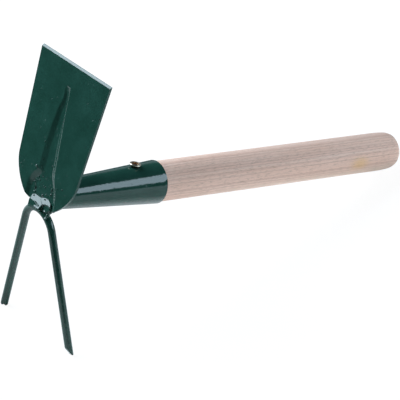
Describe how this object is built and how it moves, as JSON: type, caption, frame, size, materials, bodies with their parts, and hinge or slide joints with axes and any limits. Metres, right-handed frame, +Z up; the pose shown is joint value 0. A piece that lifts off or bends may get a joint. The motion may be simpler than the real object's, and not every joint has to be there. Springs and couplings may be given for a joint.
{
  "type": "combination hand hoe",
  "caption": "Short-handled garden hoe with a flat trapezoid blade above a tapered steel socket and a bent rod fork below it.",
  "frame": {"origin": "centre of the bounding box's footprint, on the floor that the tine tips and the butt rest on", "axes": "+X runs from the head towards the butt, +Y to the side across the blade, +Z up; the handle slopes down 16.4 degrees towards +X"},
  "size_m": [0.32, 0.0812, 0.1855],
  "materials": {
    "ash_wood": "plain sanded ash, unvarnished",
    "green_paint": "dark green gloss enamel over sheet and rod steel",
    "zinc_screw": "yellow zinc plated steel"
  },
  "bodies": {
    "root": {"handle": "ash_wood", "socket": "green_paint", "blade": "green_paint", "fork": "green_paint", "screw": "zinc_screw", "fork_weld": "green_paint", "socket_weld": "green_paint"}
  },
  "joints": []
}
